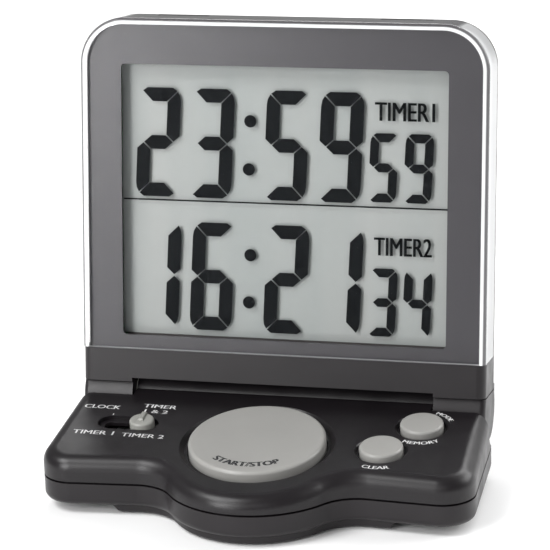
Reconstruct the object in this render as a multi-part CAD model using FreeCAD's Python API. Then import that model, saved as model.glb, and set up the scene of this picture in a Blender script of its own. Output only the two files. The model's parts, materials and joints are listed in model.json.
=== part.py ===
"""A two-line digital timer clock: a wedge-shaped base with its buttons, and a tall display hinged at its back
edge.

Millimetres, +Z up, X to the user's right, Y away from the user. The display stands leaning back on the
base. Three working frames are used. The datum frame has its X axis on the table under the display's front
face. The deck frame lies on the base's sloping deck above that line, its Z square to the deck. The display
frame stands on the hinge axis, upright before the display is leaned back."""

import FreeCAD
import Part

import math
import os

from FreeCAD import Vector

# Driving dimensions of the base
DECK_ANGLE = 8.0            # the deck rises to the back by this angle, and the display leans back by it
DECK_HEIGHT = 21.8          # height of the deck at the datum line
PARTING_Z = 9.4             # middle of the groove between the two base shells
GROOVE = 0.6                # width of that groove
FLOOR_Z = 2.7               # underside of the lower shell, outside its plinth
PLINTH_Z = 0.5              # underside of the plinth that carries the feet
PLINTH_HALF, PLINTH_REAR = 37.5, 9.5
WALL = 2.2
BASE_REAR_Y = 12.0
SHOULDER_RADIUS = 4.2       # rounding between the deck and the side walls
BULGE_RADIUS, BULGE_Y = 25.6, -29.5     # the rounded middle of the front, under the large button
VALLEY_RADIUS = 12.0        # the hollow each side of the bulge
CORNER_RADIUS, REAR_CORNER_RADIUS = 9.0, 9.0
FRONT_POINT, FRONT_ANGLE = (48.0, -39.5), 4.1
SIDE_FRONT, SIDE_REAR = (60.3, -28.0), (58.7, 12.0)

# Driving dimensions of the hinge and the display
HINGE_Y, HINGE_Z = 8.11, 19.07
EAR_RADIUS = 9.5            # the display is twice this thick
EAR_INNER, EAR_OUTER = 43.5, 58.1
BARREL_RADIUS, BARREL_HALF, BARREL_FLAT = 6.5, 43.0, 14.1
LOOM_BORE = 3.6
PIN_RADIUS = 3.0
HINGE_PLAY = 0.4
DISPLAY_HALF = 58.1
STRIP_LOW, LIP_RAISE, LENS_LOW, LENS_HIGH = 4.9, 1.1, 14.5, 108.5
SEAM_Y = 4.5                # where the lens and front frame meet the rear casing
DISPLAY_CORNER = 13.0
LENS_THICK, LENS_WALL = 1.8, 1.5
STRIP_ROUND = 2.6
BEZEL_THICK, BEZEL_WALL = 0.6, 1.2
WINDOW_HALF, WINDOW_LOW, WINDOW_HIGH = 46.6, 18.2, 95.5
FIT = 0.15                  # gap between fitted casing pieces
GLASS_FRONT = -5.4          # depths inside the display, in the display frame
BOARD_FRONT, BOARD_BACK = -1.2, 0.4
BUZZER_Z = 83.5

# Controls, as X and distance up the deck from the datum line
START_AT, START_RADIUS, START_PROUD, START_TRAVEL = (-1.0, -25.2), 19.0, 1.7, 1.2
CLEAR_AT, MEMORY_AT = (33.5, -24.9), (42.2, -10.9)
SMALL_RADIUS, SMALL_PROUD, SMALL_TRAVEL = 6.0, 1.45, 1.0
SLOT_CENTRE, SLOT_LENGTH, SLOT_WIDTH = (-39.9, -17.9), 17.4, 7.2
KNOB_RADIUS, KNOB_PROUD, KNOB_TRAVEL = 3.5, 1.6, 8.1
KNOB_AT = (SLOT_CENTRE[0] + KNOB_TRAVEL / 2, SLOT_CENTRE[1])

# Inside the base
BOARD_TOP, BOARD_THICK = -6.6, 1.6
SWITCH_TOP = -4.2           # top of a push switch, in the deck frame
SWITCH_HALF = 3.0
PLUNGER_TOP = -3.4
CELL_RADIUS, CELL_LENGTH, CELL_Z = 5.2, 44.5, 7.4
CELL_Y = (-6.4, 4.3)
BAY_HALF, BAY_FRONT, BAY_REAR, BAY_TOP = 25.4, -11.9, 9.7, 12.8
DOOR_HALF, DOOR_TOP = 24.0, 2.0
FRONT_SCREWS, REAR_SCREWS = (52.0, -30.0), (33.7, -5.0)
FOOT_PLACES = ((30.5, -31.0), (31.0, 4.8))
BOARD_SCREW_PLACES = ((-29.5, -29.5), (24.8, -16.5), (45.0, -29.5))
LOOM_RADIUS, LOOM_MEET = 1.1, -49.0

# The datum line's place in the part's frame: it centres the part's box over the origin
DATUM_Y = 11.51

NODES = {}


def box(x0, x1, y0, y1, z0, z1):
    return Part.makeBox(x1 - x0, y1 - y0, z1 - z0, Vector(x0, y0, z0))


def rod(radius, low, high, at=(0.0, 0.0)):
    """An upright cylinder."""
    return Part.makeCylinder(radius, high - low, Vector(at[0], at[1], low))


def tube(outer, inner, low, high, at=(0.0, 0.0)):
    return rod(outer, low, high, at).cut(rod(inner, low - 1, high + 1, at))


def axle(radius, x0, x1, y=0.0, z=0.0):
    """A cylinder along X."""
    return Part.makeCylinder(radius, x1 - x0, Vector(x0, y, z), Vector(1, 0, 0))


def both_sides(shape):
    return shape.fuse(shape.mirror(Vector(0, 0, 0), Vector(1, 0, 0)))


def fuse_all(first, *others):
    return first.multiFuse(list(others)).removeSplitter()


def round_edges(shape, radius, wanted):
    """Rounds the edges for which wanted(edge) is true."""
    return shape.makeFillet(radius, [e for e in shape.Edges if wanted(e)])


def at_height(edge, z):
    return all(abs(v.Z - z) < 1e-4 for v in edge.Vertexes)


def from_deck(shape):
    """Moves a shape from the deck frame to the datum frame."""
    moved = shape.copy()
    moved.rotate(Vector(0, 0, 0), Vector(1, 0, 0), DECK_ANGLE)
    moved.translate(Vector(0, 0, DECK_HEIGHT))
    return moved


def from_display(shape):
    """Moves a shape from the display frame to the datum frame."""
    moved = shape.copy()
    moved.rotate(Vector(0, 0, 0), Vector(1, 0, 0), -DECK_ANGLE)
    moved.translate(Vector(0, HINGE_Y, HINGE_Z))
    return moved


def keep(name, shape):
    """Moves a finished piece from the datum frame to the part's frame and writes its file."""
    placed = shape.copy()
    placed.translate(Vector(0, DATUM_Y, 0))
    NODES[name] = placed
    placed.exportStep(os.path.join("parts", name + ".step"))


# The base's outline, made of arcs whose centres stay put as it is drawn further in

def unit(x, y):
    size = math.hypot(x, y)
    return Vector(x / size, y / size, 0)


def crossing(p, n, q, m):
    """The point on the line through p with normal n and on the line through q with normal m."""
    det = n.x * m.y - n.y * m.x
    a, b = p.dot(n), q.dot(m)
    return Vector((a * m.y - b * n.y) / det, (b * n.x - a * m.x) / det, 0)


FRONT_NORMAL = Vector(-math.sin(math.radians(FRONT_ANGLE)), -math.cos(math.radians(FRONT_ANGLE)), 0)
SIDE_NORMAL = unit(SIDE_REAR[1] - SIDE_FRONT[1], SIDE_FRONT[0] - SIDE_REAR[0])
REAR_NORMAL = Vector(0, 1, 0)
BULGE_CENTRE = Vector(0, BULGE_Y, 0)


def valley_centre():
    """The centre of the hollow that touches both the bulge and the straight front."""
    start = Vector(*FRONT_POINT, 0) + FRONT_NORMAL * VALLEY_RADIUS
    along = Vector(FRONT_NORMAL.y, -FRONT_NORMAL.x, 0)
    gap = start - BULGE_CENTRE
    reach = BULGE_RADIUS + VALLEY_RADIUS
    half_b = gap.dot(along)
    return start + along * (-half_b - math.sqrt(half_b ** 2 - gap.dot(gap) + reach ** 2))


def corner_centre(p, n, q, m, radius):
    return crossing(Vector(*p, 0) - n * radius, n, Vector(*q, 0) - m * radius, m)


VALLEY_CENTRE = valley_centre()
CORNER_CENTRE = corner_centre(FRONT_POINT, FRONT_NORMAL, SIDE_FRONT, SIDE_NORMAL, CORNER_RADIUS)
REAR_CENTRE = corner_centre(SIDE_REAR, SIDE_NORMAL, (0, BASE_REAR_Y), REAR_NORMAL, REAR_CORNER_RADIUS)


def outline(inset, z=0.0):
    """The base's plan outline, drawn in by inset, as a face at height z."""
    towards_valley = (VALLEY_CENTRE - BULGE_CENTRE).normalize()

    def turn(centre, radius, first, second):
        middle = (first + second).normalize()
        return [centre + n * radius for n in (first, middle, second)]

    arcs = [
        turn(REAR_CENTRE, REAR_CORNER_RADIUS - inset, REAR_NORMAL, SIDE_NORMAL),
        turn(CORNER_CENTRE, CORNER_RADIUS - inset, SIDE_NORMAL, FRONT_NORMAL),
        turn(VALLEY_CENTRE, -VALLEY_RADIUS - inset, FRONT_NORMAL, towards_valley),
    ]
    bulge_end = arcs[-1][-1]
    left = [[Vector(-p.x, p.y, 0) for p in reversed(arc)] for arc in reversed(arcs)]
    bulge = [bulge_end, Vector(0, BULGE_Y - BULGE_RADIUS + inset, 0), Vector(-bulge_end.x, bulge_end.y, 0)]
    edges, last = [], None
    for arc in [*arcs, bulge, *left]:
        if last is not None and (arc[0] - last).Length > 1e-6:
            edges.append(Part.LineSegment(last, arc[0]).toShape())
        edges.append(Part.Arc(*arc).toShape())
        last = arc[-1]
    edges.append(Part.LineSegment(last, arcs[0][0]).toShape())
    face = Part.Face(Part.Wire(edges))
    face.translate(Vector(0, 0, z))
    return face


def base_prism(inset, low, high):
    return outline(inset, low).extrude(Vector(0, 0, high - low))


def under_deck(depth=0.0):
    """Everything lower than the given depth below the deck."""
    return from_deck(box(-80, 80, -80, 60, -60, -depth))


def stadium(length, width, low, high, at):
    """An upright slot shape, long in X."""
    reach = (length - width) / 2
    middle = box(at[0] - reach, at[0] + reach, at[1] - width / 2, at[1] + width / 2, low, high)
    ends = [rod(width / 2, low, high, (at[0] + s * reach, at[1])) for s in (-1, 1)]
    return fuse_all(middle, *ends)


def chamfered_hole(radius, depth, chamfer, at):
    """A counterbore from the deck down, with its rim chamfered."""
    cone = Part.makeCone(radius, radius + chamfer + 0.5, chamfer + 0.5, Vector(at[0], at[1], -chamfer))
    return rod(radius, -depth, 1, at).fuse(cone)


# Pieces of the base

def base_upper_shell():
    top = PARTING_Z + GROOVE / 2
    outer = base_prism(0, top, 40).common(under_deck())
    deck_normal = Vector(0, -math.sin(math.radians(DECK_ANGLE)), math.cos(math.radians(DECK_ANGLE)))
    deck_point = Vector(0, 0, DECK_HEIGHT)
    outer = round_edges(
        outer, SHOULDER_RADIUS,
        lambda e: all(abs((v.Point - deck_point).dot(deck_normal)) < 1e-4 for v in e.Vertexes))
    shell = outer.cut(base_prism(WALL, 0, 40).common(under_deck(WALL)))

    barrel = axle(BARREL_RADIUS, -BARREL_HALF, BARREL_HALF, HINGE_Y, HINGE_Z)
    barrel = barrel.cut(box(-30, 30, 0, 20, 0, BARREL_FLAT))
    pocket_wall = 1.0
    drum = axle(EAR_RADIUS + HINGE_PLAY + pocket_wall, BARREL_HALF - 1.3, 70, HINGE_Y, HINGE_Z)
    drums = both_sides(drum).common(outer)
    ring = from_deck(rod(START_RADIUS + 4, -3.2, -1.5, START_AT))
    posts = [from_deck(rod(2.4, BOARD_TOP, -1.5, at)) for at in BOARD_SCREW_PLACES]
    for x, y in (FRONT_SCREWS, REAR_SCREWS):
        posts += [rod(2.9, PARTING_Z + GROOVE / 2, 30, (s * x, y)).common(under_deck(1)) for s in (-1, 1)]
    shell = fuse_all(shell, barrel, drums, ring, *posts)

    cuts = [axle(LOOM_BORE, -BARREL_HALF + 2, BARREL_HALF - 2, HINGE_Y, HINGE_Z)]
    cuts.append(axle(PIN_RADIUS + 0.05, -BARREL_HALF - 1, BARREL_HALF + 1, HINGE_Y, HINGE_Z))
    pocket = fuse_all(
        axle(EAR_RADIUS + HINGE_PLAY, BARREL_HALF, 70, HINGE_Y, HINGE_Z),
        box(BARREL_HALF, 70, HINGE_Y, 30, HINGE_Z - EAR_RADIUS - HINGE_PLAY, 40))
    cuts.append(both_sides(pocket))
    cuts.append(box(-30, -24, HINGE_Y - 6.6, HINGE_Y, HINGE_Z - 8, HINGE_Z - 0.3))
    deck_cuts = [
        chamfered_hole(START_RADIUS + 1.2, 1.4, 1.3, START_AT),
        rod(START_RADIUS + 0.35, -5, 1, START_AT),
        stadium(SLOT_LENGTH, SLOT_WIDTH, -1.2, 1, SLOT_CENTRE),
        stadium(KNOB_TRAVEL + 6.0, 3.8, -5, 1, SLOT_CENTRE),
    ]
    deck_cuts += [rod(0.8, -10, -3.4, at) for at in BOARD_SCREW_PLACES]
    for at in (CLEAR_AT, MEMORY_AT):
        deck_cuts += [chamfered_hole(SMALL_RADIUS + 0.9, 1.0, 0.5, at), rod(SMALL_RADIUS + 0.3, -5, 1, at)]
    cuts += [from_deck(c) for c in deck_cuts]
    for x, y in (FRONT_SCREWS, REAR_SCREWS):
        cuts += [rod(1.25, 0, PARTING_Z + 6, (s * x, y)) for s in (-1, 1)]
    for cut in cuts:
        shell = shell.cut(cut)
    return shell


def plinth_block():
    """The low step that the clock stands on, with its ends slanting in to the table."""
    end = Part.makePolygon([
        Vector(-PLINTH_HALF, 0, PLINTH_Z), Vector(PLINTH_HALF, 0, PLINTH_Z),
        Vector(PLINTH_HALF + 3, 0, FLOOR_Z + 1), Vector(-PLINTH_HALF - 3, 0, FLOOR_Z + 1),
        Vector(-PLINTH_HALF, 0, PLINTH_Z)])
    run = Part.Face(end).extrude(Vector(0, 90, 0))
    run.translate(Vector(0, PLINTH_REAR - 90, 0))
    plinth = base_prism(1.8, PLINTH_Z, FLOOR_Z + 1).common(run)
    return plinth.makeChamfer(0.5, [e for e in plinth.Edges if at_height(e, PLINTH_Z)])


def base_lower_shell():
    top = PARTING_Z - GROOVE / 2
    outer = round_edges(base_prism(0, FLOOR_Z, top), 2.0, lambda e: at_height(e, FLOOR_Z))
    shell = outer.fuse(plinth_block()).cut(base_prism(WALL, FLOOR_Z + 2, 40))
    lip = base_prism(WALL - 0.9, top - 2, top + 0.5).cut(base_prism(WALL, 0, 40))
    lip = lip.fuse(base_prism(WALL + FIT, top - 2, top + 2.2).cut(base_prism(WALL + FIT + 1.2, 0, 40)))
    lip = lip.fuse(base_prism(WALL - 0.5, top - 2, top).cut(base_prism(WALL + FIT + 1.2, 0, 40)))
    ear_room = axle(EAR_RADIUS + HINGE_PLAY + 1.3, BARREL_HALF - 1.6, 70, HINGE_Y, HINGE_Z)
    lip = lip.cut(both_sides(ear_room)).cut(box(-44, 44, BASE_REAR_Y - 4, 30, top, 40))
    bay = box(-BAY_HALF - 1, BAY_HALF + 1, BAY_FRONT - 1, BAY_REAR + 1, FLOOR_Z, BAY_TOP + 1)
    bay = bay.cut(box(-30, 30, BASE_REAR_Y - WALL - FIT, 20, top, 30))
    shell = fuse_all(shell, lip, bay)
    shell = shell.cut(box(-BAY_HALF, BAY_HALF, BAY_FRONT, BAY_REAR, DOOR_TOP, BAY_TOP))
    shell = shell.cut(box(-DOOR_HALF - 0.2, DOOR_HALF + 0.2, BAY_FRONT - 0.3, 30, 0, DOOR_TOP + 0.1))
    shell = shell.cut(box(-DOOR_HALF - 1.3, DOOR_HALF + 1.3, BAY_FRONT - 0.3, 30, 1.1, DOOR_TOP + 0.1))
    for x, y in (FRONT_SCREWS, REAR_SCREWS):
        for s in (-1, 1):
            shell = shell.fuse(rod(3.8, FLOOR_Z + 1, top, (s * x, y)))
            shell = shell.cut(rod(2.8, -1, 5.5, (s * x, y))).cut(rod(1.5, 0, 20, (s * x, y)))
    for x, y in FOOT_PLACES:
        for s in (-1, 1):
            shell = shell.cut(rod(4.1, 0, PLINTH_Z + 0.7, (s * x, y)))
    return shell.removeSplitter()


def battery_door():
    plate = box(-DOOR_HALF, DOOR_HALF, BAY_FRONT, 9.4, PLINTH_Z, DOOR_TOP)
    lips = box(-DOOR_HALF - 1.1, DOOR_HALF + 1.1, BAY_FRONT, 9.4, 1.2, DOOR_TOP)
    grips = [box(-8, 8, y, y + 0.8, 0, PLINTH_Z + 0.5) for y in (2.0, 4.0, 6.0)]
    return fuse_all(plate, lips).cut(Part.makeCompound(grips))


def rubber_feet():
    pads = []
    for x, y in FOOT_PLACES:
        for s in (-1, 1):
            pad = rod(4.0, 0, PLINTH_Z + 0.7, (s * x, y))
            pads.append(round_edges(pad, 0.3, lambda e: at_height(e, 0)))
    return Part.makeCompound(pads)


def cells():
    """Two slim dry cells side by side, each with its raised button end."""
    made = []
    for y, s in zip(CELL_Y, (1, -1)):
        can = axle(CELL_RADIUS, -CELL_LENGTH / 2, CELL_LENGTH / 2 - 1, y, CELL_Z)
        button = axle(1.8, CELL_LENGTH / 2 - 1, CELL_LENGTH / 2, y, CELL_Z)
        cell = can.fuse(button).removeSplitter()
        made.append(cell if s > 0 else cell.mirror(Vector(0, 0, 0), Vector(1, 0, 0)))
    return Part.makeCompound(made)


def contact_spring(end_x, towards, y):
    """A bowed leaf of springy strip that presses on a cell's flat end."""
    reach, rise, thick, width = 2.3, 3.4, 0.25, 5.0
    outline = [(0, -rise), (thick, -rise), (reach, -0.8), (reach, 0.8), (thick + 0.4, rise), (0.4, rise),
               (reach - thick, 0.7), (reach - thick, -0.7), (0, -rise)]
    points = [Vector(end_x + towards * x, y - width / 2, CELL_Z + z) for x, z in outline]
    return Part.Face(Part.makePolygon(points)).extrude(Vector(0, width, 0))


def battery_contacts():
    """The four end plates of the bay, dimpled where a cell's button end meets them."""
    plates = []
    for s in (-1, 1):
        for y in CELL_Y:
            plate = box(BAY_HALF - 0.45, BAY_HALF - 0.05, y - 4, y + 4, 3.2, BAY_TOP - 0.4)
            if (s > 0) == (y == CELL_Y[0]):
                start = Vector(CELL_LENGTH / 2 + 0.1, y, CELL_Z)
                dimple = Part.makeCone(1.6, 2.6, 2.6, start, Vector(1, 0, 0))
                plate = plate.fuse(dimple).removeSplitter()
            plates.append(plate if s > 0 else plate.mirror(Vector(0, 0, 0), Vector(1, 0, 0)))
    return Part.makeCompound(plates)


def battery_springs():
    made = []
    for y, s in zip(CELL_Y, (-1, 1)):
        made.append(contact_spring(s * (BAY_HALF - 0.5), -s, y))
    return Part.makeCompound(made)


def control_board():
    """The circuit board under the controls, hung parallel to the deck."""
    low, high = BOARD_TOP - BOARD_THICK, BOARD_TOP
    board = fuse_all(
        rod(20.5, low, high, (0, -28.3)).common(box(-30, 30, -60, -14.5, low, high)),
        box(-47.5, 47.5, -33.5, -14.5, low, high),
        box(38.5, 47.5, -15, -6.5, low, high),
        box(-47.5, -30, -15, -9.5, low, high))
    for at in BOARD_SCREW_PLACES:
        board = board.cut(rod(0.9, low - 1, high + 1, at))
    return board


def push_switch(at):
    body = box(at[0] - SWITCH_HALF, at[0] + SWITCH_HALF, at[1] - SWITCH_HALF, at[1] + SWITCH_HALF,
               BOARD_TOP, SWITCH_TOP)
    return body.cut(rod(1.8, SWITCH_TOP - 2.1, 0, at))


def plunger(at):
    return rod(1.7, PLUNGER_TOP - 1.5, PLUNGER_TOP, at)


def push_button(at, radius, proud, rim, flange_top, flange_out):
    """A cap with a retaining flange under the deck and a stem over its switch's plunger."""
    flange_low = flange_top - 0.9
    cap = round_edges(rod(radius, flange_low, proud, at), rim, lambda e: at_height(e, proud))
    cap = fuse_all(cap, rod(radius + flange_out, flange_low, flange_top, at))
    cap = cap.cut(rod(radius - 1.2, flange_low - 1, proud - 1.2, at))
    return cap.fuse(rod(1.6, PLUNGER_TOP + 0.05, proud - 1, at)).removeSplitter()


def mode_knob():
    """A round slide knob with a raised pointer ridge, on a square stem."""
    x, y = KNOB_AT
    knob = round_edges(rod(KNOB_RADIUS, -1.1, KNOB_PROUD, KNOB_AT), 0.7, lambda e: at_height(e, KNOB_PROUD))
    ridge = box(x - 0.8, x + 0.8, y - 1.4, y + KNOB_RADIUS - 0.2, KNOB_PROUD - 1.2, KNOB_PROUD + 0.7)
    ridge = ridge.makeFillet(0.6, [e for e in ridge.Edges if at_height(e, KNOB_PROUD + 0.7)])
    stem = box(x - 1.7, x + 1.7, y - 1.7, y + 1.7, -3.2, -1)
    socket = box(x - 1.05, x + 1.05, y - 1.05, y + 1.05, -3.3, -0.6)
    return fuse_all(knob, ridge, stem).cut(socket)


def slide_switch():
    """The switch's metal frame: a box with a channel for the slider, open at the top in the middle."""
    x, y = SLOT_CENTRE
    frame = box(x - 9.0, x + 9.0, y - 3.6, y + 3.6, BOARD_TOP, -3.6)
    channel = box(x - 7.2, x + 7.2, y - 2.4, y + 2.4, BOARD_TOP + 0.5, -4.2)
    mouth = box(x - 6.0, x + 6.0, y - 1.3, y + 1.3, -5, 0)
    return frame.cut(channel).cut(mouth)


def slider():
    x, y = KNOB_AT
    return fuse_all(
        box(x - 2.2, x + 2.2, y - 2.2, y + 2.2, BOARD_TOP + 0.6, -4.3),
        box(x - 1, x + 1, y - 1, y + 1, -4.5, -0.75))


def screw(head_radius, head_high, shank_radius, length):
    """A cross-recess screw along +Z with its head's top at Z = 0."""
    body = fuse_all(
        rod(head_radius, 0, head_high),
        rod(shank_radius, head_high, length - 1.2),
        Part.makeCone(shank_radius, 0.2, 1.2, Vector(0, 0, length - 1.2)))
    body = body.makeFillet(0.3, [e for e in body.Edges if at_height(e, 0) and len(e.Vertexes) == 1])
    arm, width, depth = head_radius * 0.55, head_radius * 0.17, head_high * 0.6
    recess = box(-arm, arm, -width, width, -1, depth).fuse(box(-width, width, -arm, arm, -1, depth))
    return body.cut(recess)


def base_screws():
    made = []
    for x, y in (FRONT_SCREWS, REAR_SCREWS):
        for s in (-1, 1):
            one = screw(2.5, 1.5, 1.2, 10.5)
            one.translate(Vector(s * x, y, 3.95))
            made.append(one)
    return Part.makeCompound(made)


def board_screws():
    """Three small screws that hold the control board up to posts under the deck."""
    made = []
    for at in BOARD_SCREW_PLACES:
        one = screw(1.7, 1.0, 0.75, 5.0)
        one.translate(Vector(at[0], at[1], BOARD_TOP - BOARD_THICK - 1.05))
        made.append(one)
    return Part.makeCompound(made)


def pipe(points, radius, bend):
    """A round tube along straight runs joined by arcs of the given radius."""
    path, start = [], points[0]
    for before, corner, after in zip(points, points[1:], points[2:]):
        into, out = (before - corner).normalize(), (after - corner).normalize()
        half = into.getAngle(out) / 2
        back = bend / math.tan(half)
        first, last = corner + into * back, corner + out * back
        centre = corner + (into + out).normalize() * (bend / math.sin(half))
        middle = centre + (corner - centre).normalize() * bend
        path += [Part.LineSegment(start, first).toShape(), Part.Arc(first, middle, last).toShape()]
        start = last
    path.append(Part.LineSegment(start, points[-1]).toShape())
    direction = (points[1] - points[0]).normalize()
    ring = Part.Wire(Part.makeCircle(radius, points[0], direction))
    return Part.Wire(path).makePipeShell([ring], True, True)


def loom_in_base():
    """The wires from the control board, up into the barrel and out along the hinge axis to the display."""
    return pipe([
        Vector(-31.5, -12.6, 14.9), Vector(-30.4, -8.4, 16.4), Vector(-27.0, HINGE_Y - 5.5, 16.4),
        Vector(-27.0, HINGE_Y, HINGE_Z), Vector(LOOM_MEET + 0.15, HINGE_Y, HINGE_Z)], LOOM_RADIUS, 2.4)


# Pieces of the display, in the display frame

def slab(inset, y0, y1, low, high=None):
    """An upright plate with the display's rounded top corners, drawn in by inset at its sides and top."""
    high = LENS_HIGH - inset if high is None else high
    half, radius = DISPLAY_HALF - inset, max(DISPLAY_CORNER - inset, 0.5)
    plate = box(-half, half, y0, y1, low, high)
    return round_edges(
        plate, radius,
        lambda e: abs(e.CenterOfMass.z - high) < 1e-4 and abs(abs(e.CenterOfMass.x) - half) < 1e-4)


def barrel_room():
    """The space kept clear for the base's barrel, under a lip that is a little higher than at the ears."""
    room = box(-EAR_INNER, EAR_INNER, -20, 20, -20, STRIP_LOW + LIP_RAISE)
    return room.fuse(axle(BARREL_RADIUS + 0.5, -EAR_INNER, EAR_INNER))


def lens_tab_notches(gap):
    """The two places on the top edge where the rear casing's tabs hold the lens."""
    return [box(x - 7 - gap, x + 7 + gap, 1.0 - gap, SEAM_Y + 1, LENS_HIGH - LENS_WALL, LENS_HIGH + 1)
            for x in (-31.0, 33.0)]


def display_lens():
    front = -EAR_RADIUS
    lens = slab(0, front, SEAM_Y - FIT, LENS_LOW)
    lens = round_edges(lens, 1.4, lambda e: all(abs(v.Y - front) < 1e-4 for v in e.Vertexes)
                       and e.CenterOfMass.z > LENS_LOW + 1)
    lens = lens.cut(slab(LENS_WALL, front + LENS_THICK, 20, LENS_LOW - 5))
    for notch in lens_tab_notches(0.25):
        lens = lens.cut(notch)
    return lens


def window(extra):
    opening = box(-WINDOW_HALF - extra, WINDOW_HALF + extra, -20, 0, WINDOW_LOW - extra, WINDOW_HIGH + extra)
    return opening.makeFillet(1.2, [e for e in opening.Edges if abs(e.tangentAt(e.FirstParameter).y) > 0.99])


def along_y(radius, y0, y1, x, z):
    return Part.makeCylinder(radius, y1 - y0, Vector(x, y0, z), Vector(0, 1, 0))


def display_bezel():
    """The pale inner cap that shows through the lens, with the window in it."""
    inset, front = LENS_WALL + FIT, -EAR_RADIUS + LENS_THICK + FIT
    bezel = slab(inset, front, SEAM_Y - FIT, LENS_LOW)
    bezel = bezel.cut(slab(inset + BEZEL_WALL, front + BEZEL_THICK, 20, LENS_LOW - 5))
    return bezel.cut(window(0))


def front_frame():
    """The frame that carries the glass and the board, with the plain strip below the lens."""
    front = -EAR_RADIUS
    inset = LENS_WALL + FIT + BEZEL_WALL + FIT
    plate = front + LENS_THICK + FIT + BEZEL_THICK + 0.05
    frame = slab(inset, plate, SEAM_Y - FIT, LENS_LOW - 2)
    strip = box(-DISPLAY_HALF, DISPLAY_HALF, front, SEAM_Y - FIT, STRIP_LOW, LENS_LOW - FIT)
    strip = round_edges(
        strip, STRIP_ROUND,
        lambda e: abs(abs(e.CenterOfMass.x) - DISPLAY_HALF) < 1e-4 and abs(e.CenterOfMass.y - front) < 1e-4)
    frame = fuse_all(frame, strip).cut(barrel_room())
    frame = frame.cut(slab(inset + 1.5, plate + 1.4, 20, STRIP_LOW + 5.5)).cut(window(0.5))
    bosses = [along_y(2.9, plate + 0.5, SEAM_Y - FIT, x, z) for x, z in display_screw_places()]
    pegs = [along_y(1.8, plate + 0.5, front + 8.2, x, z) for x, z in panel_screw_places()]
    frame = fuse_all(frame, *bosses, *pegs)
    for x, z in display_screw_places():
        frame = frame.cut(along_y(1.25, SEAM_Y - 9, 20, x, z))
    for x, z in panel_screw_places():
        frame = frame.cut(along_y(0.8, front + 4.6, 20, x, z))
    return frame


def display_screw_places():
    return [(s * x, z) for s in (-1, 1) for x, z in ((36.0, 13.0), (46.5, 101.4))]


def panel_screw_places():
    return [(s * 50.6, z) for s in (-1, 1) for z in (28.5, 57.5, 86.5)]


def rear_casing():
    """The back of the display, with the two ears that turn in the base."""
    back = EAR_RADIUS
    casing = slab(0, SEAM_Y, back, STRIP_LOW)
    casing = round_edges(casing, 4.0, lambda e: all(abs(v.Y - back) < 1e-4 for v in e.Vertexes)
                         and e.CenterOfMass.z > STRIP_LOW + 1)
    casing = casing.cut(slab(2.0, SEAM_Y - 1, back - 2.0, STRIP_LOW + 2.5))
    ear = axle(EAR_RADIUS, EAR_INNER, EAR_OUTER)
    ear = round_edges(ear, 1.6, lambda e: len(e.Vertexes) == 1 and e.CenterOfMass.x > EAR_OUTER - 1)
    ear_top = STRIP_LOW - 0.35
    ear = fuse_all(
        ear.cut(box(0, 80, -20, 20, ear_top, 20)),
        box(EAR_INNER + 0.2, EAR_OUTER - 0.2, SEAM_Y, back - 0.9, 0, STRIP_LOW + 1))
    posts = [along_y(3.0, SEAM_Y, back - 1, x, z) for x, z in display_screw_places()]
    tabs = [t.common(slab(0.1, -5, SEAM_Y + 1, 50)) for t in lens_tab_notches(0)]
    casing = fuse_all(casing, both_sides(ear), *posts, *tabs)
    hollow = axle(7.6, EAR_INNER + 2.0, EAR_OUTER - 1.8).cut(box(0, 80, -20, 20, ear_top - 1.6, 20))
    riser = box(EAR_INNER + 2.4, EAR_OUTER - 2.4, SEAM_Y + 0.2, back - 2.0, 0, STRIP_LOW + 4)
    cuts = [barrel_room(), both_sides(hollow), both_sides(riser),
            axle(PIN_RADIUS, -EAR_INNER - 3, EAR_INNER + 3)]
    for x, z in display_screw_places():
        cuts += [along_y(1.5, SEAM_Y - 5, 30, x, z), along_y(2.7, back - 2.2, 30, x, z)]
    for i in range(-2, 3):
        for j in range(-2, 3):
            if i * i + j * j < 7:
                cuts.append(along_y(0.9, back - 4, 20, i * 3.4, BUZZER_Z + j * 3.4))
    for cut in cuts:
        casing = casing.cut(cut)
    return casing


def glass_pane():
    return box(-48.3, 48.3, GLASS_FRONT, GLASS_FRONT + 2.0, 16.2, 98.1)


def reflector():
    return box(-47.5, 47.5, GLASS_FRONT + 2.05, GLASS_FRONT + 2.35, 18.05, 95.5)


def zebra_strips():
    """The two rubber strips that join the glass's edges to the board."""
    strips = [box(-46.5, 46.5, GLASS_FRONT + 2.05, BOARD_FRONT - 0.05, z, z + 1.6) for z in (16.4, 95.6)]
    return Part.makeCompound(strips)


def display_board():
    board = box(-52.3, 52.3, BOARD_FRONT, BOARD_BACK, 16.3, 97.8)
    for x, z in panel_screw_places():
        board = board.cut(along_y(0.9, BOARD_FRONT - 1, BOARD_BACK + 1, x, z))
    return board


def display_board_screws():
    made = []
    for x, z in panel_screw_places():
        one = screw(1.6, 0.9, 0.75, 4.6)
        one.rotate(Vector(0, 0, 0), Vector(1, 0, 0), 90)
        one.translate(Vector(x, BOARD_BACK + 0.95, z))
        made.append(one)
    return Part.makeCompound(made)


def display_screws():
    made = []
    for x, z in display_screw_places():
        one = screw(2.4, 1.4, 1.2, 11.0)
        one.rotate(Vector(0, 0, 0), Vector(1, 0, 0), 90)
        one.translate(Vector(x, EAR_RADIUS - 2.2 + 1.45, z))
        made.append(one)
    return Part.makeCompound(made)


def chip_cover():
    """The drop of black resin over the bare chip on the display board."""
    rise, radius = 1.8, 8.5
    ball = (radius ** 2 + rise ** 2) / (2 * rise)
    dome = Part.makeSphere(ball, Vector(-12, BOARD_BACK + rise - ball, 47.5))
    return dome.common(box(-40, 40, BOARD_BACK, 20, 20, 80))


def quartz_crystal():
    return axle(1.2, 6, 13, BOARD_BACK + 1.25, 53.5)


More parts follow.
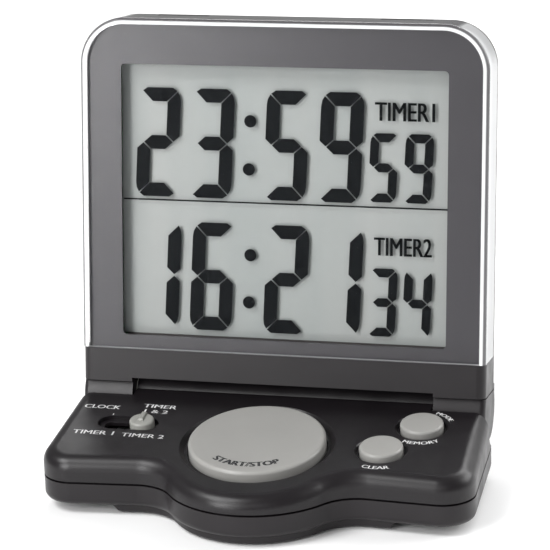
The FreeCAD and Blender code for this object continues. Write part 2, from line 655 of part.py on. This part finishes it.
def buzzer():
    """A brass disc with a smaller ceramic disc, glued behind the sound holes."""
    back = EAR_RADIUS - 2.0
    brass = along_y(13.5, back - 0.45, back - 0.05, 0, BUZZER_Z)
    return fuse_all(brass, along_y(9.5, back - 0.85, back - 0.4, 0, BUZZER_Z))


def loom_in_display():
    """The wires from the hinge axis up the rear casing to the display board."""
    return pipe([
        Vector(LOOM_MEET - 0.15, 0, 0), Vector(-52.3, 0, 0), Vector(-52.3, 5.95, -1.5),
        Vector(-52.3, 5.95, 25.5), Vector(-47.0, 1.6, 31.5)], LOOM_RADIUS, 2.0)


def hinge_bush(side):
    """A hollow steel pin, pressed into an ear and turning in the end of the barrel."""
    x0, x1 = BARREL_HALF - 1.9, EAR_INNER + 1.95
    bush = axle(PIN_RADIUS, x0, x1).cut(axle(1.7, x0 - 1, x1 + 1))
    return bush if side > 0 else bush.mirror(Vector(0, 0, 0), Vector(1, 0, 0))


def friction_washer(side):
    x0, x1 = BARREL_HALF + 0.05, EAR_INNER - 0.05
    washer = axle(5.6, x0, x1).cut(axle(PIN_RADIUS + 0.1, x0 - 1, x1 + 1))
    return washer if side > 0 else washer.mirror(Vector(0, 0, 0), Vector(1, 0, 0))


def build():
    os.makedirs("parts", exist_ok=True)
    keep("base_upper_shell", base_upper_shell())
    keep("base_lower_shell", base_lower_shell())
    keep("battery_door", battery_door())
    keep("rubber_feet", rubber_feet())
    keep("dry_cells", cells())
    keep("battery_contacts", battery_contacts())
    keep("battery_springs", battery_springs())
    keep("base_screws", base_screws())

    buttons = (("start_stop", START_AT, START_RADIUS, START_PROUD, 1.0, -3.45, 1.6),
               ("clear", CLEAR_AT, SMALL_RADIUS, SMALL_PROUD, 0.8, -2.4, 1.0),
               ("memory", MEMORY_AT, SMALL_RADIUS, SMALL_PROUD, 0.8, -2.4, 0.6))
    for name, at, *sizes in buttons:
        keep(name + "_button", from_deck(push_button(at, *sizes)))
        keep(name + "_switch", from_deck(push_switch(at)))
        keep(name + "_plunger", from_deck(plunger(at)))
    keep("mode_knob", from_deck(mode_knob()))
    keep("mode_switch_frame", from_deck(slide_switch()))
    keep("mode_switch_slider", from_deck(slider()))
    keep("control_board", from_deck(control_board()))
    keep("board_screws", from_deck(board_screws()))
    keep("wire_loom_base", loom_in_base())

    display = {
        "display_lens": display_lens, "display_bezel": display_bezel, "display_front_frame": front_frame,
        "display_rear_casing": rear_casing, "lcd_glass": glass_pane, "lcd_reflector": reflector,
        "zebra_strips": zebra_strips,
        "display_board": display_board, "display_board_screws": display_board_screws,
        "display_screws": display_screws, "chip_cover": chip_cover, "quartz_crystal": quartz_crystal,
        "buzzer": buzzer, "wire_loom_display": loom_in_display}
    for name, make in display.items():
        keep(name, from_display(make()))
    for name, side in (("left", -1), ("right", 1)):
        keep("hinge_bush_" + name, from_display(hinge_bush(side)))
        keep("friction_washer_" + name, from_display(friction_washer(side)))

    whole = Part.makeCompound(list(NODES.values())).BoundBox
    print(f"box x {whole.XMin:.2f} {whole.XMax:.2f}  y {whole.YMin:.2f} {whole.YMax:.2f}  "
          f"z {whole.ZMin:.2f} {whole.ZMax:.2f}")
    for name, shape in NODES.items():
        if not shape.isValid() or shape.Volume <= 0:
            print("check", name, shape.isValid(), shape.Volume)


build()
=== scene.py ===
"""The looks of the two-line digital timer clock: materials, legends, display segments, light and camera."""

import json
import math

import bpy
from mathutils import Matrix, Vector


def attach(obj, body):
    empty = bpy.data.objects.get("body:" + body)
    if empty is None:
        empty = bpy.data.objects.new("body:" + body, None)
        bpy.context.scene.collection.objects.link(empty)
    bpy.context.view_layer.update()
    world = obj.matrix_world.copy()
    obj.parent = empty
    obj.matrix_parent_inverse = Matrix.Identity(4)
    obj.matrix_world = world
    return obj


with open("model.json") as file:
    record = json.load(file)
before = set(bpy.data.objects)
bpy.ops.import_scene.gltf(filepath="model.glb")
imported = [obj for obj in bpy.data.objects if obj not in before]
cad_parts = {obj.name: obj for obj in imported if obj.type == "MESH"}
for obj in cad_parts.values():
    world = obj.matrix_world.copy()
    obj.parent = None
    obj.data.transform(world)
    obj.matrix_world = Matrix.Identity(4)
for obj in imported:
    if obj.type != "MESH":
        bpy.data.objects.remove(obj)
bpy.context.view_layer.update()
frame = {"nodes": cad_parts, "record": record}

MM = 0.001

# Lengths are in millimetres, in the frame or flat on the deck or the display, unless a comment says otherwise
DECK_ANGLE = math.radians(8.0)
DATUM_Y, DECK_HEIGHT = 11.51, 21.8
HINGE_Y, HINGE_Z = 19.62, 19.07
DECK = Matrix.Translation(Vector((0, DATUM_Y, DECK_HEIGHT)) * MM) @ Matrix.Rotation(DECK_ANGLE, 4, "X")
PANEL = Matrix.Translation(Vector((0, HINGE_Y, HINGE_Z)) * MM) @ Matrix.Rotation(-DECK_ANGLE, 4, "X")

START_AT, START_PROUD = (-1.0, -25.2), 1.7
CLEAR_AT, MEMORY_AT = (33.5, -24.9), (42.2, -10.9)
SLOT_AT = (-39.9, -17.9)

LENS_HALF, LENS_TOP, LENS_CORNER, LENS_FRONT = 58.1, 108.5, 13.0, -9.5
# How far inside the lens's outline and its front or top its painted edge begins, and where it is full: a
# painted highlight, and outside it a painted shade
LENS_HIGHLIGHT, LENS_HIGHLIGHT_DEPTH = (1.9, 1.6), (1.3, 0.9)
LENS_SHADE, LENS_SHADE_TOP = (1.1, 0.7), (0.9, 0.5)

SEGMENT_DEPTH = -4.4        # the liquid crystal layer, inside the glass
SEGMENT_GAP = 0.16          # how far each edge of a segment is drawn in
DIGIT_LEFTS = (-43.0, -27.4, -5.9, 9.6)
DIGIT_SIZE, DIGIT_STROKE = (12.6, 31.2), 4.2
SMALL_LEFTS, SMALL_RAISE = (23.8, 33.7), 0.5
SMALL_SIZE, SMALL_STROKE = (8.3, 19.6), 2.8
ROW_BOTTOMS = (57.65, 19.75)
ROW_TIMES = (("23", "59", "59"), ("16", "21", "34"))
COLON_X, COLON_LEAN, COLON_RADIUS = -10.2, 1.0, 1.75
COLON_HEIGHTS = (0.277, 0.712)      # shares of a digit's height
CIRCLE_POINTS = 32
DIVIDER_Z, DIVIDER_HALF, DIVIDER_THICK = 56.85, 47.0, 0.44
SLANT = math.tan(math.radians(2.5))
LIT = {"1": "bc", "2": "abged", "3": "abgcd", "4": "fgbc", "5": "afgcd", "6": "afgedc", "9": "abfgcd"}

LABEL_X, LABEL_HEIGHT, LABEL_WEIGHT = 25.6, 5.1, 0.3
LABELS = ((81.05, 16.6), (43.35, 16.1))     # bottom and width
PRINT_LIFT, PRINT_WEIGHT = 0.03, 0.12
DECK_WORDS = (              # words, x, up, width, capital height, turn in degrees
    ("CLOCK", -55.0, -10.4, 10.4, 2.0, 0),
    ("TIMER", -38.2, -8.4, 9.6, 1.9, -2),
    ("1 & 2", -37.2, -11.4, 6.8, 1.8, -2),
    ("TIMER 1", -54.1, -25.2, 11.7, 2.0, 0),
    ("TIMER 2", -40.0, -25.5, 12.2, 2.0, -1),
)
BUTTON_WORDS = (            # words, button, radius, middle in degrees, width, capital height, near
    ("CLEAR", CLEAR_AT, 10.5, 1, 7.9, 1.6, 1),
    ("MEMORY", MEMORY_AT, 10.0, 8, 10.9, 1.6, 1),
    ("MODE", MEMORY_AT, 7.9, 40, 5.8, 1.4, -1),
)
START_WORDS, START_WEIGHT = ("START/STOP", START_AT, 15.7, 0, 20.3, 2.3), 0.42
TICK_WIDTH, TICK_FROM, TICK_TO = 0.28, 4.1, 4.9
TICK_OFFSETS = (-5.6, 4.05)         # from the slot's middle

# Texture scales are in cells per metre, and colours are linear
PLASTIC_IOR, DARK_PLASTIC_IOR, INK_IOR = 1.46, 1.4, 1.15
HANDLING_SCALE, SMUDGE_SCALE, GRAIN_DEPTH = 45, 160, 0.1
METAL_SCALE, HAZE_SCALE, SPARKLE_SCALE, TRACK_SCALE = 900, 220, 6000, 260
CLEAR_ROUGH = (0.018, 0.048)
FILM_COLOURS, FILM_ROUGH = ((0.27, 0.292, 0.285), (0.305, 0.318, 0.31)), (0.45, 0.65)
BAND_STRETCH, BAND_SCALE = (60, 1, 6), 1.2
CHARCOAL = (0.0100, 0.0080, 0.0094)
BLACK = (0.0080, 0.0066, 0.0078)
BEZEL_GREY = (0.040, 0.038, 0.043)
# The colour of the painted shade on the lens's outermost edge
LENS_SHADE_COLOUR = (0.09, 0.087, 0.092)
BUTTON_GREY, KNOB_GREY = (0.272, 0.268, 0.256), (0.25, 0.25, 0.232)

FLOOR_SIZE, FLOOR_GREY, FLOOR_ROUGH = 8, 0.92, 0.7      # size in metres
WORLD_STRENGTH = 0.3
MIDDLE = (0, 0, 0.06)
LIGHTS = (                  # name, place, target and size in metres, watts
    ("key", (-0.45, -0.4, 0.8), MIDDLE, (0.4, 0.4), 7.0),
    ("near_left", (-0.26, -0.46, 0.2), (-0.04, 0, 0.08), (0.16, 0.3), 1.9),
    ("front_fill", (-0.1, -0.95, 0.5), MIDDLE, (1.0, 0.4), 1.4),
    ("right_rear", (0.55, 0.3, 0.35), MIDDLE, (0.5, 0.4), 3.8),
    ("back_top", (0.1, 0.75, 0.75), (0, 0.35, 0), (1.0, 0.4), 8.0),
)
CAMERA_LENS, CAMERA_SENSOR = 174.79, 36
CAMERA_AT, CAMERA_TARGET, CAMERA_ROLL = (169.9, -674.6, 284.2), (4.45, -9.0, 65.55), -1.89


# Materials

def new_material(name):
    mat = bpy.data.materials.new(name)
    mat.use_nodes = True
    nodes = mat.node_tree.nodes
    return mat, nodes, mat.node_tree.links, nodes["Principled BSDF"]


def noise(nodes, links, coords, scale, detail):
    tex = nodes.new("ShaderNodeTexNoise")
    tex.inputs["Scale"].default_value = scale
    tex.inputs["Detail"].default_value = detail
    links.new(coords.outputs["Object"], tex.inputs["Vector"])
    return tex


def ramp(nodes, links, value, low, high, start=0.3, end=0.7):
    """Two colours, spread over a value."""
    node = nodes.new("ShaderNodeValToRGB")
    node.color_ramp.elements[0].position = start
    node.color_ramp.elements[1].position = end
    node.color_ramp.elements[0].color = (*low, 1)
    node.color_ramp.elements[1].color = (*high, 1)
    links.new(value, node.inputs["Fac"])
    return node.outputs["Color"]


def grey_ramp(nodes, links, value, low, high):
    """Two numbers, spread over a value."""
    return ramp(nodes, links, value, (low,) * 3, (high,) * 3)


def worn_plastic(name, colour, rough, grain=0.06, grain_scale=4500, vary=0.12, sheen_spread=0.06,
                 ior=PLASTIC_IOR):
    """Moulded plastic: a fine spark-eroded grain, with faint handling marks in its gloss and colour."""
    mat, nodes, links, shader = new_material(name)
    coords = nodes.new("ShaderNodeTexCoord")
    broad = noise(nodes, links, coords, HANDLING_SCALE, 4)
    dark, light = [tuple(c * k for c in colour) for k in (1 - vary, 1 + vary)]
    links.new(ramp(nodes, links, broad.outputs["Fac"], dark, light), shader.inputs["Base Color"])
    smudge = noise(nodes, links, coords, SMUDGE_SCALE, 5)
    gloss = grey_ramp(nodes, links, smudge.outputs["Fac"], rough - sheen_spread, rough + sheen_spread)
    links.new(gloss, shader.inputs["Roughness"])
    fine = noise(nodes, links, coords, grain_scale, 2)
    bump = nodes.new("ShaderNodeBump")
    bump.inputs["Strength"].default_value = grain
    bump.inputs["Distance"].default_value = GRAIN_DEPTH * MM
    links.new(fine.outputs["Fac"], bump.inputs["Height"])
    links.new(bump.outputs["Normal"], shader.inputs["Normal"])
    shader.inputs["IOR"].default_value = ior
    return mat


def worn_metal(name, colour, rough, streak=(1, 1, 1)):
    """Plated or rolled metal with a fine mottle, which streak can draw out along one direction."""
    mat, nodes, links, shader = new_material(name)
    shader.inputs["Metallic"].default_value = 1.0
    coords = nodes.new("ShaderNodeTexCoord")
    stretch = nodes.new("ShaderNodeMapping")
    stretch.inputs["Scale"].default_value = streak
    links.new(coords.outputs["Object"], stretch.inputs["Vector"])
    tex = nodes.new("ShaderNodeTexNoise")
    tex.inputs["Scale"].default_value = METAL_SCALE
    links.new(stretch.outputs["Vector"], tex.inputs["Vector"])
    dark, light = [tuple(c * k for c in colour) for k in (0.8, 1.0)]
    links.new(ramp(nodes, links, tex.outputs["Fac"], dark, light), shader.inputs["Base Color"])
    gloss = grey_ramp(nodes, links, tex.outputs["Fac"], rough * 0.7, rough * 1.3)
    links.new(gloss, shader.inputs["Roughness"])
    return mat


def calculate(nodes, links, operation, first, second):
    """One sum on a node's value and a number or another node's value."""
    node = nodes.new("ShaderNodeMath")
    node.operation = operation
    links.new(first, node.inputs[0])
    if isinstance(second, (int, float)):
        node.inputs[1].default_value = second
    else:
        links.new(second, node.inputs[1])
    return node.outputs["Value"]


def spread(nodes, links, value, start, end):
    """0 before start and 1 after end."""
    node = nodes.new("ShaderNodeMapRange")
    node.inputs["From Min"].default_value = start
    node.inputs["From Max"].default_value = end
    links.new(value, node.inputs["Value"])
    return node.outputs["Result"]


def painted_lens_edge(nodes, links, coords):
    """A painted highlight just inside the lens's front edge, and a painted shade on its outer skin, each from
    0 to 1.
    """
    upright = nodes.new("ShaderNodeMapping")
    upright.inputs["Location"].default_value = PANEL.inverted().translation
    upright.inputs["Rotation"].default_value = (DECK_ANGLE, 0, 0)
    links.new(coords.outputs["Object"], upright.inputs["Vector"])
    split = nodes.new("ShaderNodeSeparateXYZ")
    links.new(upright.outputs["Vector"], split.inputs["Vector"])
    depth, height = split.outputs["Y"], split.outputs["Z"]
    across = calculate(nodes, links, "ABSOLUTE", split.outputs["X"], 0)
    corner = nodes.new("ShaderNodeCombineXYZ")
    for axis, value, limit in (("X", across, LENS_HALF), ("Z", height, LENS_TOP)):
        beyond = calculate(nodes, links, "SUBTRACT", value, (limit - LENS_CORNER) * MM)
        links.new(calculate(nodes, links, "MAXIMUM", beyond, 0), corner.inputs[axis])
    length = nodes.new("ShaderNodeVectorMath")
    length.operation = "LENGTH"
    links.new(corner.outputs["Vector"], length.inputs[0])
    reach = length.outputs["Value"]
    # Where the painted highlight and the painted shade lie inside the lens's outline
    line = spread(nodes, links, reach, *[(LENS_CORNER - inwards) * MM for inwards in LENS_HIGHLIGHT])
    shade_band = spread(nodes, links, reach, *[(LENS_CORNER - inwards) * MM for inwards in LENS_SHADE])
    front = spread(nodes, links, depth, *[(LENS_FRONT + behind) * MM for behind in LENS_HIGHLIGHT_DEPTH])
    top = spread(nodes, links, height, *[(LENS_TOP - below) * MM for below in LENS_SHADE_TOP])
    # The painted highlight sits behind the front, and the painted shade also runs along the top
    painted_highlight = calculate(nodes, links, "MULTIPLY", line, front)
    dark = calculate(nodes, links, "MULTIPLY", shade_band, calculate(nodes, links, "MAXIMUM", front, top))
    return painted_highlight, dark


def clear_plastic(name, tint, most, power, specular=0.5, painted_edge=0.0):
    """Clear moulding: see-through head on, and pale where it is seen edge on.

    most and power say how pale it gets, and the last argument is how solid the painted highlight and painted
    shade on the lens's edge are.
    """
    mat, nodes, links, shader = new_material(name)
    coords = nodes.new("ShaderNodeTexCoord")
    haze = noise(nodes, links, coords, HAZE_SCALE, 4)
    shader.inputs["Base Color"].default_value = (*tint, 1)
    shader.inputs["IOR"].default_value = PLASTIC_IOR
    shader.inputs["Specular IOR Level"].default_value = specular
    links.new(grey_ramp(nodes, links, haze.outputs["Fac"], *CLEAR_ROUGH), shader.inputs["Roughness"])
    facing = nodes.new("ShaderNodeLayerWeight")
    facing.inputs["Blend"].default_value = 0.5
    cover = calculate(nodes, links, "POWER", facing.outputs["Facing"], power)
    cover = calculate(nodes, links, "MULTIPLY", cover, most)
    # The lens's edge gets a painted highlight and, outermost, a painted shade that darkens its colour
    if painted_edge:
        painted_highlight, dark = painted_lens_edge(nodes, links, coords)
        edge = calculate(nodes, links, "MAXIMUM", painted_highlight, dark)
        cover = calculate(nodes, links, "MAXIMUM", cover, calculate(nodes, links, "MULTIPLY", edge, painted_edge))
        links.new(ramp(nodes, links, dark, tint, LENS_SHADE_COLOUR, 0.0, 1.0), shader.inputs["Base Color"])
    see = nodes.new("ShaderNodeBsdfTransparent")
    mix = nodes.new("ShaderNodeMixShader")
    links.new(cover, mix.inputs["Fac"])
    links.new(see.outputs["BSDF"], mix.inputs[1])
    links.new(shader.outputs["BSDF"], mix.inputs[2])
    links.new(mix.outputs["Shader"], nodes["Material Output"].inputs["Surface"])
    return mat


def reflector_film(name):
    """The pale grey-green film behind the liquid crystal, with a faint mottle and faint upright bands."""
    mat, nodes, links, shader = new_material(name)
    coords = nodes.new("ShaderNodeTexCoord")
    stretch = nodes.new("ShaderNodeMapping")
    stretch.inputs["Scale"].default_value = BAND_STRETCH
    links.new(coords.outputs["Object"], stretch.inputs["Vector"])
    bands = nodes.new("ShaderNodeTexNoise")
    bands.inputs["Scale"].default_value = BAND_SCALE
    bands.inputs["Detail"].default_value = 2
    links.new(stretch.outputs["Vector"], bands.inputs["Vector"])
    links.new(ramp(nodes, links, bands.outputs["Fac"], *FILM_COLOURS), shader.inputs["Base Color"])
    sparkle = noise(nodes, links, coords, SPARKLE_SCALE, 1)
    links.new(grey_ramp(nodes, links, sparkle.outputs["Fac"], *FILM_ROUGH), shader.inputs["Roughness"])
    return mat


def matt_ink(name, colour):
    return worn_plastic(name, colour, 0.6, grain=0.02, grain_scale=9000, vary=0.05, ior=INK_IOR)


def circuit_board(name, colour):
    """Solder mask over copper tracks: straight runs, lighter than the mask between them."""
    mat, nodes, links, shader = new_material(name)
    coords = nodes.new("ShaderNodeTexCoord")
    tracks = nodes.new("ShaderNodeTexBrick")
    tracks.inputs["Scale"].default_value = TRACK_SCALE
    tracks.inputs["Color1"].default_value = (*[c * 0.9 for c in colour], 1)
    tracks.inputs["Color2"].default_value = (*colour, 1)
    tracks.inputs["Mortar"].default_value = (*[c * 1.9 for c in colour], 1)
    links.new(coords.outputs["Object"], tracks.inputs["Vector"])
    links.new(tracks.outputs["Color"], shader.inputs["Base Color"])
    shader.inputs["Roughness"].default_value = 0.35
    return mat


MATERIALS = {
    "casing": worn_plastic("casing_plastic", CHARCOAL, 0.36, grain=0.08, ior=DARK_PLASTIC_IOR),
    "base_top": worn_plastic("deck_plastic", BLACK, 0.36, grain=0.08, ior=DARK_PLASTIC_IOR),
    "button": worn_plastic("button_plastic", BUTTON_GREY, 0.36, grain=0.03, vary=0.03),
    "knob": worn_plastic("knob_plastic", KNOB_GREY, 0.4, grain=0.03, vary=0.03),
    "bezel": worn_plastic("bezel_plastic", BEZEL_GREY, 0.34, grain=0.02, vary=0.02, sheen_spread=0.01),
    "rubber": worn_plastic("foot_rubber", (0.02, 0.02, 0.02), 0.8, grain=0.3, grain_scale=1800),
    "zebra": worn_plastic("strip_rubber", (0.05, 0.045, 0.045), 0.7),
    "board": circuit_board("board_mask", (0.02, 0.12, 0.05)),
    "resin": worn_plastic("chip_resin", (0.012, 0.012, 0.012), 0.2, grain=0.02),
    "switch": worn_plastic("switch_plastic", (0.02, 0.02, 0.022), 0.5),
    "plunger": worn_plastic("plunger_plastic", (0.4, 0.38, 0.33), 0.5),
    "washer": worn_plastic("washer_plastic", (0.7, 0.7, 0.66), 0.45),
    "wire": worn_plastic("wire_jacket", (0.32, 0.32, 0.33), 0.45, grain=0.05),
    "cell": worn_plastic("cell_sleeve", (0.05, 0.07, 0.1), 0.25, grain=0.02),
    "steel": worn_metal("plated_steel", (0.62, 0.62, 0.63), 0.3),
    "spring_steel": worn_metal("nickel_plate", (0.72, 0.7, 0.66), 0.2),
    "brass": worn_metal("disc_brass", (0.75, 0.55, 0.25), 0.3, streak=(1, 20, 1)),
    # The lens carries a painted highlight and a painted shade along its edge
    "clear": clear_plastic("lens_clear", (0.93, 0.94, 0.95), 0.92, 3.0, painted_edge=0.85),
    "lcd": clear_plastic("cell_glass", (0.8, 0.84, 0.82), 0.4, 4.0, specular=0.3),
    "reflector": reflector_film("reflector_film"),
}
INK = matt_ink("segment_ink", (0.006, 0.007, 0.008))
PRINT = matt_ink("legend_white", (0.72, 0.72, 0.72))
DARK_PRINT = matt_ink("legend_grey", (0.035, 0.035, 0.038))


def dress_nodes():
    """Gives every CAD node the material of its slot in the record."""
    for row in frame["record"]["subparts"]:
        for slot in frame["nodes"][row["node"]].material_slots:
            slot.link = "OBJECT"
            slot.material = MATERIALS[row["material_slot"]]


# Flat printed shapes. Each is drawn in millimetres as (x, up) on a deck or a panel.

def flat_piece(name, polygons, place, body, material):
    """One mesh of flat polygons. place turns a point (x, up) into a world position."""
    verts, faces = [], []
    for polygon in polygons:
        faces.append(range(len(verts), len(verts) + len(polygon)))
        verts += [place(p) for p in polygon]
    mesh = bpy.data.meshes.new(name)
    mesh.from_pydata(verts, [], [tuple(f) for f in faces])
    mesh.materials.append(material)
    piece = bpy.data.objects.new(name, mesh)
    bpy.context.collection.objects.link(piece)
    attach(piece, body)


def on_deck(lift=PRINT_LIFT):
    return lambda p: DECK @ (Vector((p[0], p[1], lift)) * MM)


def on_panel(depth):
    return lambda p: PANEL @ (Vector((p[0], depth, p[1])) * MM)


def shrunk(polygon, by):
    """An anticlockwise polygon with every edge moved inwards."""
    moved = []
    for before, at, after in zip(polygon[-1:] + polygon[:-1], polygon, polygon[1:] + polygon[:1]):
        before, at, after = Vector(before), Vector(at), Vector(after)
        first, second = (at - before).normalized(), (after - at).normalized()
        n1, n2 = Vector((-first.y, first.x)), Vector((-second.y, second.x))
        moved.append(tuple(at + (n1 + n2) * (by / (1 + n1.dot(n2)))))
    return moved


def segment_shapes(width, height, stroke):
    """The seven segments of a digit, meeting edge to edge, with its outer corners cut off."""
    w, h, t, mid = width, height, stroke, height / 2
    half, tip, notch = 0.5 * t, 0.45 * t, 0.4 * t
    cut, joint, ease = 0.6 * t, 0.25 * t, 0.06 * t
    top = [(t, h - t), (w - t, h - t), (w - joint, h - joint), (w - cut, h), (cut, h), (joint, h - joint)]
    right = [(w - t, mid + half), (w - tip, mid), (w, mid + notch), (w, h - t), (w - ease, h - cut),
             (w - joint, h - joint), (w - t, h - t)]
    middle = [(t, mid - half), (w - t, mid - half), (w - tip, mid), (w - t, mid + half), (t, mid + half),
              (tip, mid)]

    def flip_x(polygon):
        return [(w - x, y) for x, y in reversed(polygon)]

    def flip_y(polygon):
        return [(x, h - y) for x, y in reversed(polygon)]

    return {"a": top, "b": right, "c": flip_y(right), "d": flip_y(top), "e": flip_x(flip_y(right)),
            "f": flip_x(right), "g": middle}


def slanted(polygon, left, bottom):
    return [(left + x + y * SLANT, bottom + y) for x, y in polygon]


def digit(character, left, bottom, size, stroke):
    shapes = segment_shapes(*size, stroke)
    return [slanted(shrunk(shapes[s], SEGMENT_GAP), left - size[1] * SLANT / 2, bottom)
            for s in LIT[character]]


def disc(x, up, radius):
    turns = [2 * math.pi * i / CIRCLE_POINTS for i in range(CIRCLE_POINTS)]
    return [(x + radius * math.cos(a), up + radius * math.sin(a)) for a in turns]


def bar(x0, x1, up0, up1):
    return [(x0, up0), (x1, up0), (x1, up1), (x0, up1)]


def display_segments():
    for index, (bottom, (hours, minutes, seconds)) in enumerate(zip(ROW_BOTTOMS, ROW_TIMES), 1):
        shapes = []
        for character, left in zip(hours + minutes, DIGIT_LEFTS):
            shapes += digit(character, left, bottom, DIGIT_SIZE, DIGIT_STROKE)
        for character, left in zip(seconds, SMALL_LEFTS):
            shapes += digit(character, left, bottom + SMALL_RAISE, SMALL_SIZE, SMALL_STROKE)
        for share in COLON_HEIGHTS:
            x = COLON_X + (share - 0.5) * COLON_LEAN
            shapes.append(disc(x, bottom + DIGIT_SIZE[1] * share, COLON_RADIUS))
        flat_piece(f"segments_row_{index}", shapes, on_panel(SEGMENT_DEPTH), "display", INK)
    half = DIVIDER_THICK / 2
    line = bar(-DIVIDER_HALF, DIVIDER_HALF, DIVIDER_Z - half, DIVIDER_Z + half)
    flat_piece("segments_divider", [line], on_panel(SEGMENT_DEPTH), "display", INK)


def letters(words):
    """Text as polygons, with capitals one unit tall and the line starting at x = 0."""
    curve = bpy.data.curves.new("letters", "FONT")
    curve.body = words
    carrier = bpy.data.objects.new("letters", curve)
    bpy.context.collection.objects.link(carrier)
    mesh = bpy.data.meshes.new_from_object(carrier.evaluated_get(bpy.context.evaluated_depsgraph_get()))
    points = [v.co.copy() for v in mesh.vertices]
    polygons = [[(points[i].x, points[i].y) for i in face.vertices] for face in mesh.polygons]
    bpy.data.objects.remove(carrier)
    bpy.data.meshes.remove(mesh)
    left = min(x for p in polygons for x, _ in p)
    low = min(y for p in polygons for _, y in p)
    cap = max(y for p in polygons for _, y in p) - low
    return [[((x - left) / cap, (y - low) / cap) for x, y in p] for p in polygons]


def fitted(words, width, height, weight):
    """Text as polygons, made to a width and a capital height, and drawn twice, weight apart, for boldness."""
    polygons = letters(words)
    natural = max(x for p in polygons for x, _ in p)
    return [[(x * width / natural + shift, y * height) for x, y in p]
            for shift in (-weight / 2, weight / 2) for p in polygons]


def straight_text(words, x, up, width, height, turn=0.0, weight=PRINT_WEIGHT):
    """Text that starts at (x, up), turned by an angle in degrees."""
    cos, sin = math.cos(math.radians(turn)), math.sin(math.radians(turn))
    return [[(x + px * cos - py * sin, up + px * sin + py * cos) for px, py in p]
            for p in fitted(words, width, height, weight)]


def curved_text(words, centre, radius, middle, width, height, near=1, weight=PRINT_WEIGHT):
    """Text bent round a circle, near its front (near=1, feet outwards) or its back (near=-1, feet inwards).

    middle is where its middle comes, in degrees to the right of straight in front or behind.
    """
    bent = []
    for polygon in fitted(words, width, height, weight):
        turned = []
        for px, py in polygon:
            angle = math.radians(middle) + (px - width / 2) / radius
            reach = radius - py * near
            turned.append((centre[0] + reach * math.sin(angle), centre[1] - near * reach * math.cos(angle)))
        bent.append(turned)
    return bent


def legends():
    for index, (bottom, width) in enumerate(LABELS, 1):
        words = straight_text(f"TIMER{index}", LABEL_X, bottom, width, LABEL_HEIGHT, weight=LABEL_WEIGHT)
        flat_piece(f"segments_label_{index}", words, on_panel(SEGMENT_DEPTH), "display", INK)

    printed = []
    for row in DECK_WORDS:
        printed += straight_text(*row)
    for offset in TICK_OFFSETS:
        x, half = SLOT_AT[0] + offset, TICK_WIDTH / 2
        printed.append(bar(x - half, x + half, SLOT_AT[1] + TICK_FROM, SLOT_AT[1] + TICK_TO))
    for row in BUTTON_WORDS:
        printed += curved_text(*row)
    flat_piece("deck_legends", printed, on_deck(), "base", PRINT)

    start = curved_text(*START_WORDS, weight=START_WEIGHT)
    on_button = on_deck(START_PROUD + PRINT_LIFT)
    flat_piece("start_stop_legend", start, on_button, "start_stop", DARK_PRINT)


# Stage

def area_light(name, place, target, size, power):
    light = bpy.data.lights.new(name, "AREA")
    light.shape = "RECTANGLE"
    light.size, light.size_y = size
    light.energy = power
    lamp = bpy.data.objects.new(name, light)
    bpy.context.collection.objects.link(lamp)
    lamp.location = place
    lamp.rotation_euler = (Vector(target) - Vector(place)).to_track_quat("-Z", "Y").to_euler()


def stage():
    bpy.ops.mesh.primitive_plane_add(size=FLOOR_SIZE, location=(0, 0, 0))
    floor = bpy.context.object
    floor.name = "floor"
    mat, _, _, shader = new_material("pale_floor")
    shader.inputs["Base Color"].default_value = (FLOOR_GREY, FLOOR_GREY, FLOOR_GREY, 1)
    shader.inputs["Roughness"].default_value = FLOOR_ROUGH
    floor.data.materials.append(mat)

    world = bpy.context.scene.world or bpy.data.worlds.new("World")
    bpy.context.scene.world = world
    world.use_nodes = True
    world.node_tree.nodes["Background"].inputs["Color"].default_value = (1, 1, 1, 1)
    world.node_tree.nodes["Background"].inputs["Strength"].default_value = WORLD_STRENGTH
    bpy.context.scene.view_settings.view_transform = "Standard"

    for row in LIGHTS:
        area_light(*row)


def camera():
    lens = bpy.data.cameras.new("camera")
    lens.lens = CAMERA_LENS
    lens.sensor_width = CAMERA_SENSOR
    eye = bpy.data.objects.new("camera", lens)
    bpy.context.collection.objects.link(eye)
    eye.location = Vector(CAMERA_AT) * MM
    target = Vector(CAMERA_TARGET) * MM
    look = (target - eye.location).to_track_quat("-Z", "Y")
    roll = Matrix.Rotation(math.radians(CAMERA_ROLL), 4, "Z").to_quaternion()
    eye.rotation_mode = "QUATERNION"
    eye.rotation_quaternion = look @ roll
    bpy.context.scene.camera = eye


dress_nodes()
display_segments()
legends()
stage()
camera()
